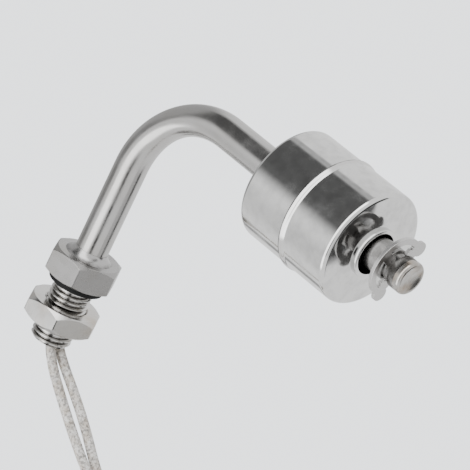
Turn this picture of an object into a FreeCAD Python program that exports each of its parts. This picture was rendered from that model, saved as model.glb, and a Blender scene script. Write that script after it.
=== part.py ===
import FreeCAD, Part
import math
import os
from FreeCAD import Vector

# Float level switch for the side wall of a tank: a hollow M10 shank and hex fitting, a stem tube
# bent through 90 degrees, and a float with a ring magnet that slides on the stem past a reed switch.
# Millimetres. Origin on the wall seat, X from the wall into the tank, Z up the hanging stem.

# ---- fits and clearances ----
SEAT_FIT = 0.02
RUNNING_FIT = 0.05

# ---- shank, gasket, hex fitting ----
THREAD_R = 5.0
SHANK_LENGTH = 15.4
SHANK_LEAD_IN = 0.7
SHANK_BORE_R = 3.5
SHANK_LIP_CHAMFER = 0.6
GASKET_THICKNESS = 1.5
GASKET_R = 6.8
HEX_AF = 16.0
HEX_HEIGHT = 6.4
HEX_FACE_RATIO = 0.97
HEX_VERTEX_DEG = 216.6
CHAMFER_SLOPE = math.tan(math.radians(30))
NECK_FLARE = 1.9
NECK_TOP_LIP = 0.1
NECK_HEIGHT = 1.9
NECK_SAG = 0.3
SOCKET_DEPTH = 6.0

# ---- lock nut ----
NUT_AF = 16.8
NUT_THICKNESS = 5.1
NUT_FRONT_X = -5.3
NUT_FACE_RATIO = 0.9
NUT_VERTEX_DEG = 217.7
NUT_COUNTERSINK = 0.45

# ---- stem tube ----
TUBE_R = 4.0
TUBE_WALL = 1.0
BEND_R = 21.8
STEM_X = 53.9
STEM_END_Z = -83.4
CLIP_FROM_END = 5.6
CAP_HEIGHT = 1.8
CAP_SPIGOT = 1.6
CAP_EDGE_ROUND = 0.8
CAP_DISH_R = 3.0
CAP_DISH_DEPTH = 0.35
GROOVE_DEPTH = 0.5
GROOVE_WIDTH = 2.0

# ---- float ----
FLOAT_R = 14.0
FLOAT_DROP = 5.4
FLOAT_RISE = 0.6
FLOAT_HALF_CYLINDER = 13.8
FLOAT_CONE_RISE = 0.9
FLOAT_CORNER_R = 1.0
FLOAT_WALL = 0.6
FLOAT_BORE_CLEARANCE = 1.05
FLOAT_TUBE_WALL = 0.55
RIM_WIDTH = 0.5
RIM_HEIGHT = 1.0
RIM_ROUND = 0.42
RIM_LEDGE = 0.5
SEAM_HALF = 0.6
SEAM_PROUD = 0.42
FLOAT_LEAN = 0.5
FLOAT_LEAN_DEG = 197.9

# ---- magnet inside the float ----
MAGNET_WIDTH = 3.88
MAGNET_HEIGHT = 6.0
CLAMP_WIDTH = 2.6
CLAMP_THICKNESS = 0.8
CLAMP_TEETH = 6
CLAMP_SLOT_WIDTH = 1.2
CLAMP_SLOT_DEPTH = 1.4

# ---- retaining clips ----
CLIP_BAND_R = 7.4
CLIP_THICKNESS = 0.9
CLIP_EAR_R = 1.8
CLIP_EAR_X = 6.45
CLIP_EAR_Y = 1.8
CLIP_MOUTH_RATIO = 0.9
CLIP_END_Y = 2.2
CLIP_POCKET_R = 5.9
CLIP_POCKET_Y = -0.7
CLIP_BACK_LUG = 1.3
CLIP_NOTCH_R = 0.45
CLIP_OPENING_DEG = 117.1

# ---- reed switch and its wiring in the stem ----
WIRE_Y = 1.3
REED_BELOW_FLOAT = 0.3
REED_LENGTH = 14.0
REED_R = 1.2
REED_WALL = 0.3
REED_END_ROUND = 0.9
SEAL_LENGTH = 1.8
SEAL_GAP = 0.1
BLADE_WIDTH = 1.1
BLADE_THICKNESS = 0.2
BLADE_GAP = 0.1
BLADE_LAP = 1.0
BLADE_WIRE_R = 0.3
WIRE_BEYOND_GLASS = 6.0
RETURN_BEND_BELOW_GLASS = 5.6
RETURN_WIRE = 2.0
SLEEVE_OVER_GLASS = 0.8
SPLICE_R = 1.0
SPLICE_OVER_LEAD = 4.0
SPLICE_OVER_WIRE = 3.0
RETURN_SPLICE_OVER_LEAD = 2.2
RETURN_SPLICE_OVER_WIRE = 1.4
INNER_LEAD_R = 0.65

# ---- potting and outer leads ----
POTTING_INNER_X = -3.0
POTTING_OUTER_X = -11.0
LEAD_R = 1.2
TIP_R = 0.5
TIP_LENGTH = 6.0
LEAD_A_POINTS = [
    (-7.0, -1.3, 0.0),
    (-11.6, -1.3, -0.05),
    (-16.1, -1.35, -2.2),
    (-19.75, -1.4, -5.9),
    (-22.8, -1.25, -10.0),
    (-28.0, -1.25, -17.9),
    (-34.5, -1.3, -29.2),
    (-39.1, -1.3, -40.6),
    (-40.2, -1.25, -52.0),
    (-40.2, -1.25, -62.0),
]
LEAD_B_POINTS = [
    (-7.0, 1.3, 0.0),
    (-11.6, 1.3, -0.05),
    (-15.9, 1.35, -2.3),
    (-19.05, 1.4, -6.9),
    (-21.6, 1.25, -11.8),
    (-26.6, 1.25, -19.9),
    (-34.3, 1.3, -29.8),
    (-39.0, 1.3, -40.8),
    (-40.2, 1.25, -52.2),
    (-40.2, 1.25, -62.0),
]
TAIL_A_POINTS = [
    (-40.2, 8.65, -82.0),
    (-40.2, 8.6, -92.0),
    (-41.2, 7.5, -102.0),
    (-41.0, 6.4, -112.5),
    (-42.2, 5.4, -122.0),
]
TAIL_B_POINTS = [
    (-40.2, 11.15, -82.0),
    (-40.1, 11.2, -92.0),
    (-39.0, 12.2, -101.5),
    (-38.2, 12.6, -112.0),
    (-36.8, 13.6, -121.5),
]

# ---- shipping coil of the leads and its tie ----
COIL_X = -48.2
COIL_TOP_Z = -62.0
COIL_STRAIGHT = 20.0
COIL_R = 8.0
COIL_FIRST_Y = -2.5
COIL_LAST_Y = 12.4
COIL_EDGE_ROUND = 1.1
TIE_HEIGHT = 3.0
TIE_WALL = 0.6
TIE_MID_Z = -72.0
TIE_TWIST_R = 0.9
TIE_TWIST_LENGTH = 11.0

X_AXIS = Vector(1, 0, 0)
Z_AXIS = Vector(0, 0, 1)

hex_x = GASKET_THICKNESS
neck_x = hex_x + HEX_HEIGHT
neck_top_x = neck_x + NECK_HEIGHT
socket_x = neck_top_x - SOCKET_DEPTH
bend_start_x = STEM_X - BEND_R
bend_end_z = -BEND_R
tube_end_z = STEM_END_Z + CAP_HEIGHT
tube_bore_r = TUBE_R - TUBE_WALL
groove_r = TUBE_R - GROOVE_DEPTH
clip_top_z = STEM_END_Z + CLIP_FROM_END
float_bore_r = TUBE_R + FLOAT_BORE_CLEARANCE
float_tube_r = float_bore_r + FLOAT_TUBE_WALL
rim_r = float_tube_r + RIM_WIDTH
rim_flat_r = rim_r + RIM_LEDGE
float_cone_h = FLOAT_HALF_CYLINDER + FLOAT_CONE_RISE
float_rim_h = float_cone_h + RIM_HEIGHT
float_mid_z = clip_top_z + FLOAT_DROP + float_rim_h
upper_clip_z = float_mid_z + float_rim_h + FLOAT_RISE
lower_clip_z = clip_top_z - CLIP_THICKNESS
neck_base_r = TUBE_R + NECK_FLARE
neck_top_r = TUBE_R + NECK_TOP_LIP
thread_bore_r = THREAD_R + RUNNING_FIT

nodes = {}


def face_of(points):
    """Flat face inside a closed polygon."""
    return Part.Face(Part.makePolygon(points + [points[0]]))


def turned(profile, axis, origin=Vector(0, 0, 0)):
    """Body of revolution from a closed face."""
    return profile.revolve(origin, axis, 360)


def turned_x(pairs):
    """Body turned about X from (x, radius) corners."""
    return turned(face_of([Vector(x, r, 0) for x, r in pairs]), X_AXIS)


def turned_z(pairs):
    """Body turned about Z from (radius, z) corners."""
    return turned(face_of([Vector(r, 0, z) for r, z in pairs]), Z_AXIS)


def cylinder_z(radius, bottom, top, x=0.0, y=0.0):
    return Part.makeCylinder(radius, top - bottom, Vector(x, y, bottom), Z_AXIS)


def cylinder_x(radius, start, end, y=0.0, z=0.0):
    return Part.makeCylinder(radius, end - start, Vector(start, y, z), X_AXIS)


def on_stem(shape):
    """Body made about the Z axis, moved onto the stem's axis."""
    shape.translate(Vector(STEM_X, 0, 0))
    return shape


def hex_prism(across_flats, start, height, vertex_deg):
    """Hexagonal bar along X with one corner at the stated angle in the YZ plane."""
    corner_r = across_flats / math.sqrt(3)
    corners = []
    for i in range(6):
        turn = math.radians(vertex_deg + 60 * i)
        corners.append(Vector(start, corner_r * math.cos(turn), corner_r * math.sin(turn)))
    return face_of(corners).extrude(Vector(height, 0, 0))


def chamfered_hex(across_flats, start, height, vertex_deg, face_ratio):
    """Hexagonal bar whose corners are turned down to a circle at both ends."""
    corner_r = across_flats / math.sqrt(3)
    face_r = face_ratio * across_flats / 2
    drop = (corner_r - face_r) * CHAMFER_SLOPE
    end = start + height
    blank = turned_x([
        (start, 0), (start, face_r), (start + drop, corner_r),
        (end - drop, corner_r), (end, face_r), (end, 0),
    ])
    return hex_prism(across_flats, start, height, vertex_deg).common(blank)


def rounded_path(points):
    """Wire of straight runs joined by tangent arcs at every inner point."""
    edges = []
    at = points[0]
    for before, corner, after in zip(points, points[1:], points[2:]):
        back = before - corner
        ahead = after - corner
        reach = 0.45 * min(back.Length, ahead.Length)
        back.normalize()
        ahead.normalize()
        half_turn = (math.pi - back.getAngle(ahead)) / 2
        radius = reach / math.tan(half_turn)
        inward = back + ahead
        inward.normalize()
        centre = corner + inward * (radius / math.cos(half_turn))
        start = corner + back * reach
        end = corner + ahead * reach
        middle = centre - inward * radius
        edges.append(Part.LineSegment(at, start).toShape())
        edges.append(Part.Arc(start, middle, end).toShape())
        at = end
    edges.append(Part.LineSegment(at, points[-1]).toShape())
    return Part.Wire(edges)


def swept(path, radius):
    """Round bar along a path."""
    start = path.Edges[0].valueAt(path.Edges[0].FirstParameter)
    heading = path.Edges[0].tangentAt(path.Edges[0].FirstParameter)
    section = Part.Wire(Part.makeCircle(radius, start, heading))
    return path.makePipeShell([section], True, False)


def stem_line(y=0.0, from_x=0.0, to_z=0.0):
    """Path along the shank's axis, round the bend and down the stem."""
    a = Vector(from_x, y, 0)
    b = Vector(bend_start_x, y, 0)
    c = Vector(STEM_X, y, bend_end_z)
    d = Vector(STEM_X, y, to_z)
    turn = math.radians(45)
    middle = Vector(
        bend_start_x + BEND_R * math.sin(turn), y, bend_end_z + BEND_R * math.cos(turn)
    )
    return Part.Wire([
        Part.LineSegment(a, b).toShape(),
        Part.Arc(b, middle, c).toShape(),
        Part.LineSegment(c, d).toShape(),
    ])


# ---- hex fitting: hex head, weld neck and hollow threaded shank from one bar ----
def make_hex_fitting():
    head = chamfered_hex(HEX_AF, hex_x, HEX_HEIGHT, HEX_VERTEX_DEG, HEX_FACE_RATIO)
    neck_middle = Vector(
        neck_x + NECK_HEIGHT / 2 - NECK_SAG, (neck_base_r + neck_top_r) / 2 - NECK_SAG, 0
    )
    base = Vector(neck_x, neck_base_r, 0)
    top = Vector(neck_top_x, neck_top_r, 0)
    neck_wire = Part.Wire([
        Part.makePolygon([top, Vector(neck_top_x, 0, 0), Vector(neck_x, 0, 0), base]),
        Part.Arc(base, neck_middle, top).toShape(),
    ])
    neck = turned(Part.Face(neck_wire), X_AXIS)
    tip_x = -SHANK_LENGTH
    shank = turned_x([
        (tip_x, 0), (tip_x, THREAD_R - SHANK_LEAD_IN),
        (tip_x + SHANK_LEAD_IN, THREAD_R), (hex_x, THREAD_R), (hex_x, 0),
    ])
    bore = turned_x([
        (tip_x, 0), (tip_x, SHANK_BORE_R + SHANK_LIP_CHAMFER),
        (tip_x + SHANK_LIP_CHAMFER, SHANK_BORE_R), (socket_x, SHANK_BORE_R), (socket_x, 0),
    ])
    socket = cylinder_x(TUBE_R + SEAT_FIT, socket_x, neck_top_x)
    return head.fuse([neck, shank]).cut(bore).cut(socket).removeSplitter()


nodes["hex_fitting"] = make_hex_fitting()

# ---- sealing gasket ----
nodes["sealing_gasket"] = turned_x([
    (0, thread_bore_r), (0, GASKET_R), (GASKET_THICKNESS, GASKET_R), (GASKET_THICKNESS, thread_bore_r),
])


# ---- lock nut ----
def make_lock_nut():
    back_x = NUT_FRONT_X - NUT_THICKNESS
    body = chamfered_hex(NUT_AF, back_x, NUT_THICKNESS, NUT_VERTEX_DEG, NUT_FACE_RATIO)
    mouth_r = thread_bore_r + NUT_COUNTERSINK
    bore = turned_x([
        (back_x, 0), (back_x, mouth_r), (back_x + NUT_COUNTERSINK, thread_bore_r),
        (NUT_FRONT_X - NUT_COUNTERSINK, thread_bore_r), (NUT_FRONT_X, mouth_r), (NUT_FRONT_X, 0),
    ])
    return body.cut(bore)


nodes["lock_nut"] = make_lock_nut()


# ---- stem tube with its two clip grooves ----
def groove_cutter(bottom):
    ring = cylinder_z(TUBE_R + TUBE_WALL, bottom, bottom + GROOVE_WIDTH)
    return on_stem(ring.cut(cylinder_z(groove_r, bottom, bottom + GROOVE_WIDTH)))


def make_stem_tube():
    path = stem_line(0.0, socket_x, tube_end_z)
    tube = swept(path, TUBE_R).cut(swept(path, tube_bore_r))
    lower = groove_cutter(clip_top_z - GROOVE_WIDTH)
    upper = groove_cutter(upper_clip_z)
    return tube.cut(lower).cut(upper)


nodes["stem_tube"] = make_stem_tube()


# ---- end cap welded into the stem: rounded edge and dished face ----
def make_end_cap():
    body = turned_z([
        (0, tube_end_z + CAP_SPIGOT), (tube_bore_r - SEAT_FIT, tube_end_z + CAP_SPIGOT),
        (tube_bore_r - SEAT_FIT, tube_end_z), (TUBE_R, tube_end_z), (TUBE_R, STEM_END_Z), (0, STEM_END_Z),
    ])
    outer_edges = [
        e for e in body.Edges
        if abs(e.BoundBox.ZMax - STEM_END_Z) < 0.01 and e.BoundBox.XLength > 1.9 * TUBE_R
    ]
    body = body.makeFillet(CAP_EDGE_ROUND, outer_edges)
    ball_r = (CAP_DISH_R ** 2 + CAP_DISH_DEPTH ** 2) / (2 * CAP_DISH_DEPTH)
    ball = Part.makeSphere(ball_r, Vector(0, 0, STEM_END_Z + CAP_DISH_DEPTH - ball_r))
    return on_stem(body.cut(ball))


nodes["stem_end_cap"] = make_end_cap()


# ---- retaining clips: three inner lugs grip the groove, two round ears flank the mouth ----
def make_clip(bottom):
    band = cylinder_z(CLIP_BAND_R, 0, CLIP_THICKNESS)
    reach = CLIP_EAR_X + CLIP_EAR_R
    beyond = Part.makeBox(2 * reach, reach, CLIP_THICKNESS, Vector(-reach, CLIP_END_Y, 0))
    ears = [cylinder_z(CLIP_EAR_R, 0, CLIP_THICKNESS, side * CLIP_EAR_X, CLIP_EAR_Y) for side in (-1, 1)]
    body = band.cut(beyond).fuse(ears)
    mouth_width = CLIP_MOUTH_RATIO * 2 * groove_r
    mouth = Part.makeBox(mouth_width, reach, CLIP_THICKNESS, Vector(-mouth_width / 2, 0, 0))
    pockets = cylinder_z(CLIP_POCKET_R, 0, CLIP_THICKNESS)
    above = Part.makeBox(2 * reach, reach, CLIP_THICKNESS, Vector(-reach, CLIP_POCKET_Y, 0))
    back_lug = Part.makeBox(2 * CLIP_BACK_LUG, reach, CLIP_THICKNESS, Vector(-CLIP_BACK_LUG, -reach, 0))
    pockets = pockets.cut(above).cut(back_lug)
    body = body.cut(cylinder_z(groove_r, 0, CLIP_THICKNESS)).cut(mouth).cut(pockets)
    notch_x = math.sqrt(CLIP_POCKET_R ** 2 - CLIP_POCKET_Y ** 2) - CLIP_NOTCH_R
    for side in (-1, 1):
        body = body.cut(cylinder_z(CLIP_NOTCH_R, 0, CLIP_THICKNESS, side * notch_x, CLIP_POCKET_Y))
    body = body.removeSplitter()
    body.rotate(Vector(0, 0, 0), Z_AXIS, CLIP_OPENING_DEG - 90)
    body.translate(Vector(0, 0, bottom))
    return on_stem(body)


nodes["upper_retaining_clip"] = make_clip(upper_clip_z)
nodes["lower_retaining_clip"] = make_clip(lower_clip_z)


# ---- float: two drawn half shells, seam weld, centre tube with rolled rims ----
def on_float(shape, side=1):
    """Body made about the float's middle, mirrored for the lower half, set leaning on the stem."""
    if side < 0:
        shape = shape.mirror(Vector(0, 0, 0), Z_AXIS)
    lean = math.radians(FLOAT_LEAN_DEG)
    shape.translate(Vector(
        STEM_X + FLOAT_LEAN * math.cos(lean), FLOAT_LEAN * math.sin(lean), float_mid_z
    ))
    return shape


def shell_profile(inset):
    """Half section of a drawn shell from its flat round the hole down to the seam."""
    flat = Vector(rim_flat_r, 0, float_cone_h - inset)
    corner = Vector(FLOAT_R - inset, 0, FLOAT_HALF_CYLINDER - inset)
    seam = Vector(FLOAT_R - inset, 0, SEAM_HALF)
    radius = FLOAT_CORNER_R - inset * 0.5
    up = flat - corner
    down = seam - corner
    up.normalize()
    down.normalize()
    half_turn = (math.pi - up.getAngle(down)) / 2
    reach = radius * math.tan(half_turn)
    inward = up + down
    inward.normalize()
    middle = corner + inward * (radius / math.cos(half_turn) - radius)
    return flat, corner + up * reach, middle, corner + down * reach, seam


def make_shell(side):
    flat, a, m, b, seam = shell_profile(0.0)
    flat_in, a_in, m_in, b_in, seam_in = shell_profile(FLOAT_WALL)
    hole_out = Vector(float_tube_r, 0, flat.z)
    hole_in = Vector(float_tube_r, 0, flat_in.z)
    wire = Part.Wire([
        Part.LineSegment(hole_out, flat).toShape(),
        Part.LineSegment(flat, a).toShape(),
        Part.Arc(a, m, b).toShape(),
        Part.LineSegment(b, seam).toShape(),
        Part.LineSegment(seam, seam_in).toShape(),
        Part.LineSegment(seam_in, b_in).toShape(),
        Part.Arc(b_in, m_in, a_in).toShape(),
        Part.LineSegment(a_in, flat_in).toShape(),
        Part.LineSegment(flat_in, hole_in).toShape(),
        Part.LineSegment(hole_in, hole_out).toShape(),
    ])
    return on_float(turned(Part.Face(wire), Z_AXIS), side)


nodes["float_upper_shell"] = make_shell(1)
nodes["float_lower_shell"] = make_shell(-1)


def make_seam_weld():
    inner = FLOAT_R - FLOAT_WALL
    bead = Part.Wire([
        Part.makePolygon([
            Vector(FLOAT_R, 0, SEAM_HALF), Vector(inner, 0, SEAM_HALF),
            Vector(inner, 0, -SEAM_HALF), Vector(FLOAT_R, 0, -SEAM_HALF),
        ]),
        Part.Arc(
            Vector(FLOAT_R, 0, -SEAM_HALF), Vector(FLOAT_R + SEAM_PROUD, 0, 0),
            Vector(FLOAT_R, 0, SEAM_HALF),
        ).toShape(),
    ])
    return on_float(turned(Part.Face(bead), Z_AXIS))


nodes["float_seam_weld"] = make_seam_weld()


def make_centre_tube():
    body = turned_z([
        (float_bore_r, -float_rim_h), (rim_r, -float_rim_h), (rim_r, -float_cone_h),
        (float_tube_r, -float_cone_h), (float_tube_r, float_cone_h),
        (rim_r, float_cone_h), (rim_r, float_rim_h), (float_bore_r, float_rim_h),
    ])
    rims = [e for e in body.Edges if abs(abs(e.BoundBox.Center.z) - float_rim_h) < 0.01]
    rims = [e for e in rims if e.BoundBox.ZLength < 0.01 and e.BoundBox.XLength > float_bore_r]
    return on_float(body.makeFillet(RIM_ROUND, rims))


nodes["float_centre_tube"] = make_centre_tube()

# ---- ring magnet and the two star rings that hold it ----
magnet_half = MAGNET_HEIGHT / 2
magnet_r = float_tube_r + SEAT_FIT + MAGNET_WIDTH
clamp_r = float_tube_r + CLAMP_WIDTH
nodes["float_magnet"] = on_float(turned_z([
    (float_tube_r + SEAT_FIT, -magnet_half), (magnet_r, -magnet_half),
    (magnet_r, magnet_half), (float_tube_r + SEAT_FIT, magnet_half),
]))


def make_magnet_clamp(side):
    top = magnet_half + CLAMP_THICKNESS
    ring = turned_z([
        (float_tube_r, magnet_half), (clamp_r, magnet_half), (clamp_r, top), (float_tube_r, top),
    ])
    for i in range(CLAMP_TEETH):
        slot = Part.makeBox(
            CLAMP_SLOT_DEPTH + CLAMP_SLOT_WIDTH, CLAMP_SLOT_WIDTH, CLAMP_THICKNESS,
            Vector(float_tube_r - CLAMP_SLOT_WIDTH, -CLAMP_SLOT_WIDTH / 2, magnet_half),
        )
        slot.rotate(Vector(0, 0, 0), Z_AXIS, i * 360 / CLAMP_TEETH)
        ring = ring.cut(slot)
    return on_float(ring, side)


nodes["magnet_clamp_upper"] = make_magnet_clamp(1)
nodes["magnet_clamp_lower"] = make_magnet_clamp(-1)

# ---- reed switch: glass capsule, two blades with round wire ends ----
reed_mid_z = float_mid_z - REED_BELOW_FLOAT
reed_bottom = reed_mid_z - REED_LENGTH / 2
reed_top = reed_mid_z + REED_LENGTH / 2
blade_length = REED_LENGTH / 2 - SEAL_LENGTH - SEAL_GAP + BLADE_LAP / 2
upper_wire_end_z = reed_top + WIRE_BEYOND_GLASS
return_bend_z = reed_bottom - RETURN_BEND_BELOW_GLASS
lower_wire_end_z = return_bend_z + RETURN_WIRE


def make_reed_capsule():
    glass = cylinder_z(REED_R, reed_bottom, reed_top)
    glass = glass.makeFillet(REED_END_ROUND, [e for e in glass.Edges if e.BoundBox.ZLength < 0.01])
    hollow = cylinder_z(REED_R - REED_WALL, reed_bottom + SEAL_LENGTH, reed_top - SEAL_LENGTH)
    wires = cylinder_z(BLADE_WIRE_R, reed_bottom, reed_top)
    glass = glass.cut(hollow).cut(wires)
    glass.translate(Vector(0, WIRE_Y, 0))
    return on_stem(glass)


nodes["reed_capsule"] = make_reed_capsule()


def blade_flat(side):
    """Flattened contact end, offset to its side of the contact gap."""
    lap_end = reed_mid_z - side * BLADE_LAP / 2
    far_end = lap_end + side * blade_length
    offset = side * (BLADE_GAP / 2 + BLADE_THICKNESS / 2)
    return Part.makeBox(
        BLADE_THICKNESS, BLADE_WIDTH, blade_length,
        Vector(offset - BLADE_THICKNESS / 2, WIRE_Y - BLADE_WIDTH / 2, min(lap_end, far_end)),
    ), far_end


def make_upper_blade():
    flat, root = blade_flat(1)
    wire = cylinder_z(BLADE_WIRE_R, root - SEAL_LENGTH / 3, upper_wire_end_z, 0, WIRE_Y)
    return on_stem(flat.fuse(wire).removeSplitter())


def make_lower_blade():
    flat, root = blade_flat(-1)
    start = Vector(0, WIRE_Y, root + SEAL_LENGTH / 3)
    turn_in = Vector(0, WIRE_Y, return_bend_z)
    turn_out = Vector(0, -WIRE_Y, return_bend_z)
    path = Part.Wire([
        Part.LineSegment(start, turn_in).toShape(),
        Part.Arc(turn_in, Vector(0, 0, return_bend_z - WIRE_Y), turn_out).toShape(),
        Part.LineSegment(turn_out, Vector(0, -WIRE_Y, lower_wire_end_z)).toShape(),
    ])
    return on_stem(flat.fuse(swept(path, BLADE_WIRE_R)).removeSplitter())


nodes["reed_blade_upper"] = make_upper_blade()
nodes["reed_blade_lower"] = make_lower_blade()

# ---- insulating sleeve that seats the capsule and passes the return lead ----
sleeve_bottom = reed_bottom - SLEEVE_OVER_GLASS
sleeve_top = reed_top + SLEEVE_OVER_GLASS
sleeve = cylinder_z(tube_bore_r - SEAT_FIT, sleeve_bottom, sleeve_top)
sleeve = sleeve.cut(cylinder_z(REED_R + SEAT_FIT, sleeve_bottom, sleeve_top, 0, WIRE_Y))
sleeve = sleeve.cut(cylinder_z(INNER_LEAD_R + SEAT_FIT, sleeve_bottom, sleeve_top, 0, -WIRE_Y))
nodes["reed_sleeve"] = on_stem(sleeve)

# ---- inner leads round the bend, and the splices to the blades ----
nodes["inner_lead_a"] = swept(stem_line(WIRE_Y, LEAD_A_POINTS[0][0], upper_wire_end_z), INNER_LEAD_R)
nodes["inner_lead_b"] = swept(stem_line(-WIRE_Y, LEAD_A_POINTS[0][0], lower_wire_end_z), INNER_LEAD_R)


def make_splice(joint, over_lead, over_wire, y):
    """Shrunk sleeve: wide over the lead above the joint, narrow over the blade's wire below it."""
    body = cylinder_z(SPLICE_R, joint - over_wire, joint + over_lead, 0, y)
    body = body.cut(cylinder_z(INNER_LEAD_R, joint, joint + over_lead, 0, y))
    return on_stem(body.cut(cylinder_z(BLADE_WIRE_R, joint - over_wire, joint, 0, y)))


nodes["splice_sleeve_a"] = make_splice(upper_wire_end_z, SPLICE_OVER_LEAD, SPLICE_OVER_WIRE, WIRE_Y)
nodes["splice_sleeve_b"] = make_splice(
    lower_wire_end_z, RETURN_SPLICE_OVER_LEAD, RETURN_SPLICE_OVER_WIRE, -WIRE_Y
)


# ---- shipping coil: the closed outer shape of both leads' turns, and its tie ----
def stadium(radius):
    """Upright stadium face in the XZ plane at the coil's first side."""
    low = COIL_TOP_Z - COIL_STRAIGHT
    right, left = COIL_X + radius, COIL_X - radius
    y = COIL_FIRST_Y
    return Part.Face(Part.Wire([
        Part.LineSegment(Vector(right, y, COIL_TOP_Z), Vector(right, y, low)).toShape(),
        Part.Arc(
            Vector(right, y, low), Vector(COIL_X, y, low - radius), Vector(left, y, low)
        ).toShape(),
        Part.LineSegment(Vector(left, y, low), Vector(left, y, COIL_TOP_Z)).toShape(),
        Part.Arc(
            Vector(left, y, COIL_TOP_Z), Vector(COIL_X, y, COIL_TOP_Z + radius),
            Vector(right, y, COIL_TOP_Z),
        ).toShape(),
    ]))


def make_coil():
    depth = Vector(0, COIL_LAST_Y - COIL_FIRST_Y, 0)
    body = stadium(COIL_R + LEAD_R).extrude(depth).cut(stadium(COIL_R - LEAD_R).extrude(depth))
    edges = [e for e in body.Edges if e.BoundBox.YLength < 0.01]
    return body.makeFillet(COIL_EDGE_ROUND, edges)


nodes["lead_coil"] = make_coil()


def make_tie():
    leg_x = COIL_X + COIL_R
    reach = LEAD_R + TIE_WALL
    width = COIL_LAST_Y - COIL_FIRST_Y + 2 * TIE_WALL
    corner = Vector(leg_x - reach, COIL_FIRST_Y - TIE_WALL, TIE_MID_Z - TIE_HEIGHT / 2)
    block = Part.makeBox(2 * reach, width, TIE_HEIGHT, corner)
    upright = [e for e in block.Edges if e.BoundBox.ZLength > TIE_HEIGHT / 2]
    block = block.makeFillet(COIL_EDGE_ROUND + TIE_WALL, upright)
    band = block.cut(nodes["lead_coil"])
    start = Vector(leg_x + reach - TIE_WALL / 2, COIL_FIRST_Y + 2 * reach, TIE_MID_Z)
    heading = Vector(1, 0, 0.35)
    heading.normalize()
    twist = Part.makeCylinder(TIE_TWIST_R, TIE_TWIST_LENGTH, start, heading)
    twist = twist.fuse(Part.makeSphere(TIE_TWIST_R, start + heading * TIE_TWIST_LENGTH))
    return band.fuse(twist.cut(nodes["lead_coil"])).removeSplitter()


nodes["coil_tie"] = make_tie()


# ---- outer leads: from the potting to the coil, and the tails with tinned tips ----
def vectors(points):
    return [Vector(*p) for p in points]


def make_lead(points, tail_points):
    front = swept(rounded_path(vectors(points)), LEAD_R).cut(nodes["lead_coil"])
    tail = swept(rounded_path(vectors(tail_points)), LEAD_R).cut(nodes["lead_coil"])
    return Part.makeCompound([front, tail])


def make_tip(tail_points):
    before, end = vectors(tail_points)[-2:]
    heading = end - before
    heading.normalize()
    return Part.makeCylinder(TIP_R, TIP_LENGTH, end, heading)


nodes["lead_a"] = make_lead(LEAD_A_POINTS, TAIL_A_POINTS)
nodes["lead_b"] = make_lead(LEAD_B_POINTS, TAIL_B_POINTS)
nodes["lead_tip_a"] = make_tip(TAIL_A_POINTS)
nodes["lead_tip_b"] = make_tip(TAIL_B_POINTS)

# ---- potting that closes the shank and grips every lead ----
potting = cylinder_x(SHANK_BORE_R, POTTING_OUTER_X, POTTING_INNER_X)
for name in ("lead_a", "lead_b", "inner_lead_a", "inner_lead_b"):
    potting = potting.cut(nodes[name])
nodes["potting_plug"] = potting

os.makedirs("parts", exist_ok=True)
for name, shape in nodes.items():
    shape.exportStep("parts/" + name + ".step")
    box = shape.BoundBox
    print(
        name, "solids", len(shape.Solids), "volume", round(shape.Volume, 2), "valid", shape.isValid(),
        "x", round(box.XMin, 2), round(box.XMax, 2), "y", round(box.YMin, 2), round(box.YMax, 2),
        "z", round(box.ZMin, 2), round(box.ZMax, 2),
    )

for name, points in (("lead_a", LEAD_A_POINTS), ("lead_b", LEAD_B_POINTS)):
    corners = vectors(points)
    radii = []
    for before, corner, after in zip(corners, corners[1:], corners[2:]):
        back, ahead = before - corner, after - corner
        half_turn = (math.pi - back.getAngle(ahead)) / 2
        radii.append(round(0.45 * min(back.Length, ahead.Length) / math.tan(half_turn), 1))
    print(name, "bend radii", radii)
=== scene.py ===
import math
import random

import bmesh
import bpy
from mathutils import Matrix, Vector


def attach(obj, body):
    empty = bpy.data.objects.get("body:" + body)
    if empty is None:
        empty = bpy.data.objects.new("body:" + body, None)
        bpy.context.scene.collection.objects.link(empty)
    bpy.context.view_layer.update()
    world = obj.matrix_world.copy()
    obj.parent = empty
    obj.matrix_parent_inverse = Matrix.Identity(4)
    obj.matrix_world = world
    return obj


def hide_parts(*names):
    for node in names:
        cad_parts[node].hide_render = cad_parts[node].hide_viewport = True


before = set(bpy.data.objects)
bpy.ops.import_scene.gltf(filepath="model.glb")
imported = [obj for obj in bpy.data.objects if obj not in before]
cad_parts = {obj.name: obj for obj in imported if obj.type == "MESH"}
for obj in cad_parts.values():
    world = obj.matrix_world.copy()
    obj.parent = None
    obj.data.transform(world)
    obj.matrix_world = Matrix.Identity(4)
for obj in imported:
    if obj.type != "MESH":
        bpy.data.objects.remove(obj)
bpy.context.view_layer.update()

mm = 0.001  # pieces are sized in mm; the camera, the cords and the studio are in metres


def toLinear(hexColour):
    # sRGB hex to the linear colour that a shader socket takes
    channels = [int(hexColour[i:i + 2], 16) / 255 for i in (1, 3, 5)]
    return [c / 12.92 if c <= 0.04045 else ((c + 0.055) / 1.055) ** 2.4 for c in channels] + [1.0]


def addNode(tree, kind, settings=None, links=None):
    # one shader node with its settings, and its inputs joined to other nodes' outputs
    made = tree.nodes.new(kind)
    for name, value in (settings or {}).items():
        if isinstance(name, str) and hasattr(made, name):
            setattr(made, name, value)
        else:
            made.inputs[name].default_value = value
    for name, output in (links or {}).items():
        tree.links.new(output, made.inputs[name])
    return made


def newMaterial(name, settings):
    # a Principled surface with its uniform values set on its own sockets
    material = bpy.data.materials.new(name)
    material.use_nodes = True
    tree = material.node_tree
    tree.nodes.clear()
    shader = addNode(tree, "ShaderNodeBsdfPrincipled", settings)
    addNode(tree, "ShaderNodeOutputMaterial", links={"Surface": shader.outputs[0]})
    return material, tree, shader


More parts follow.
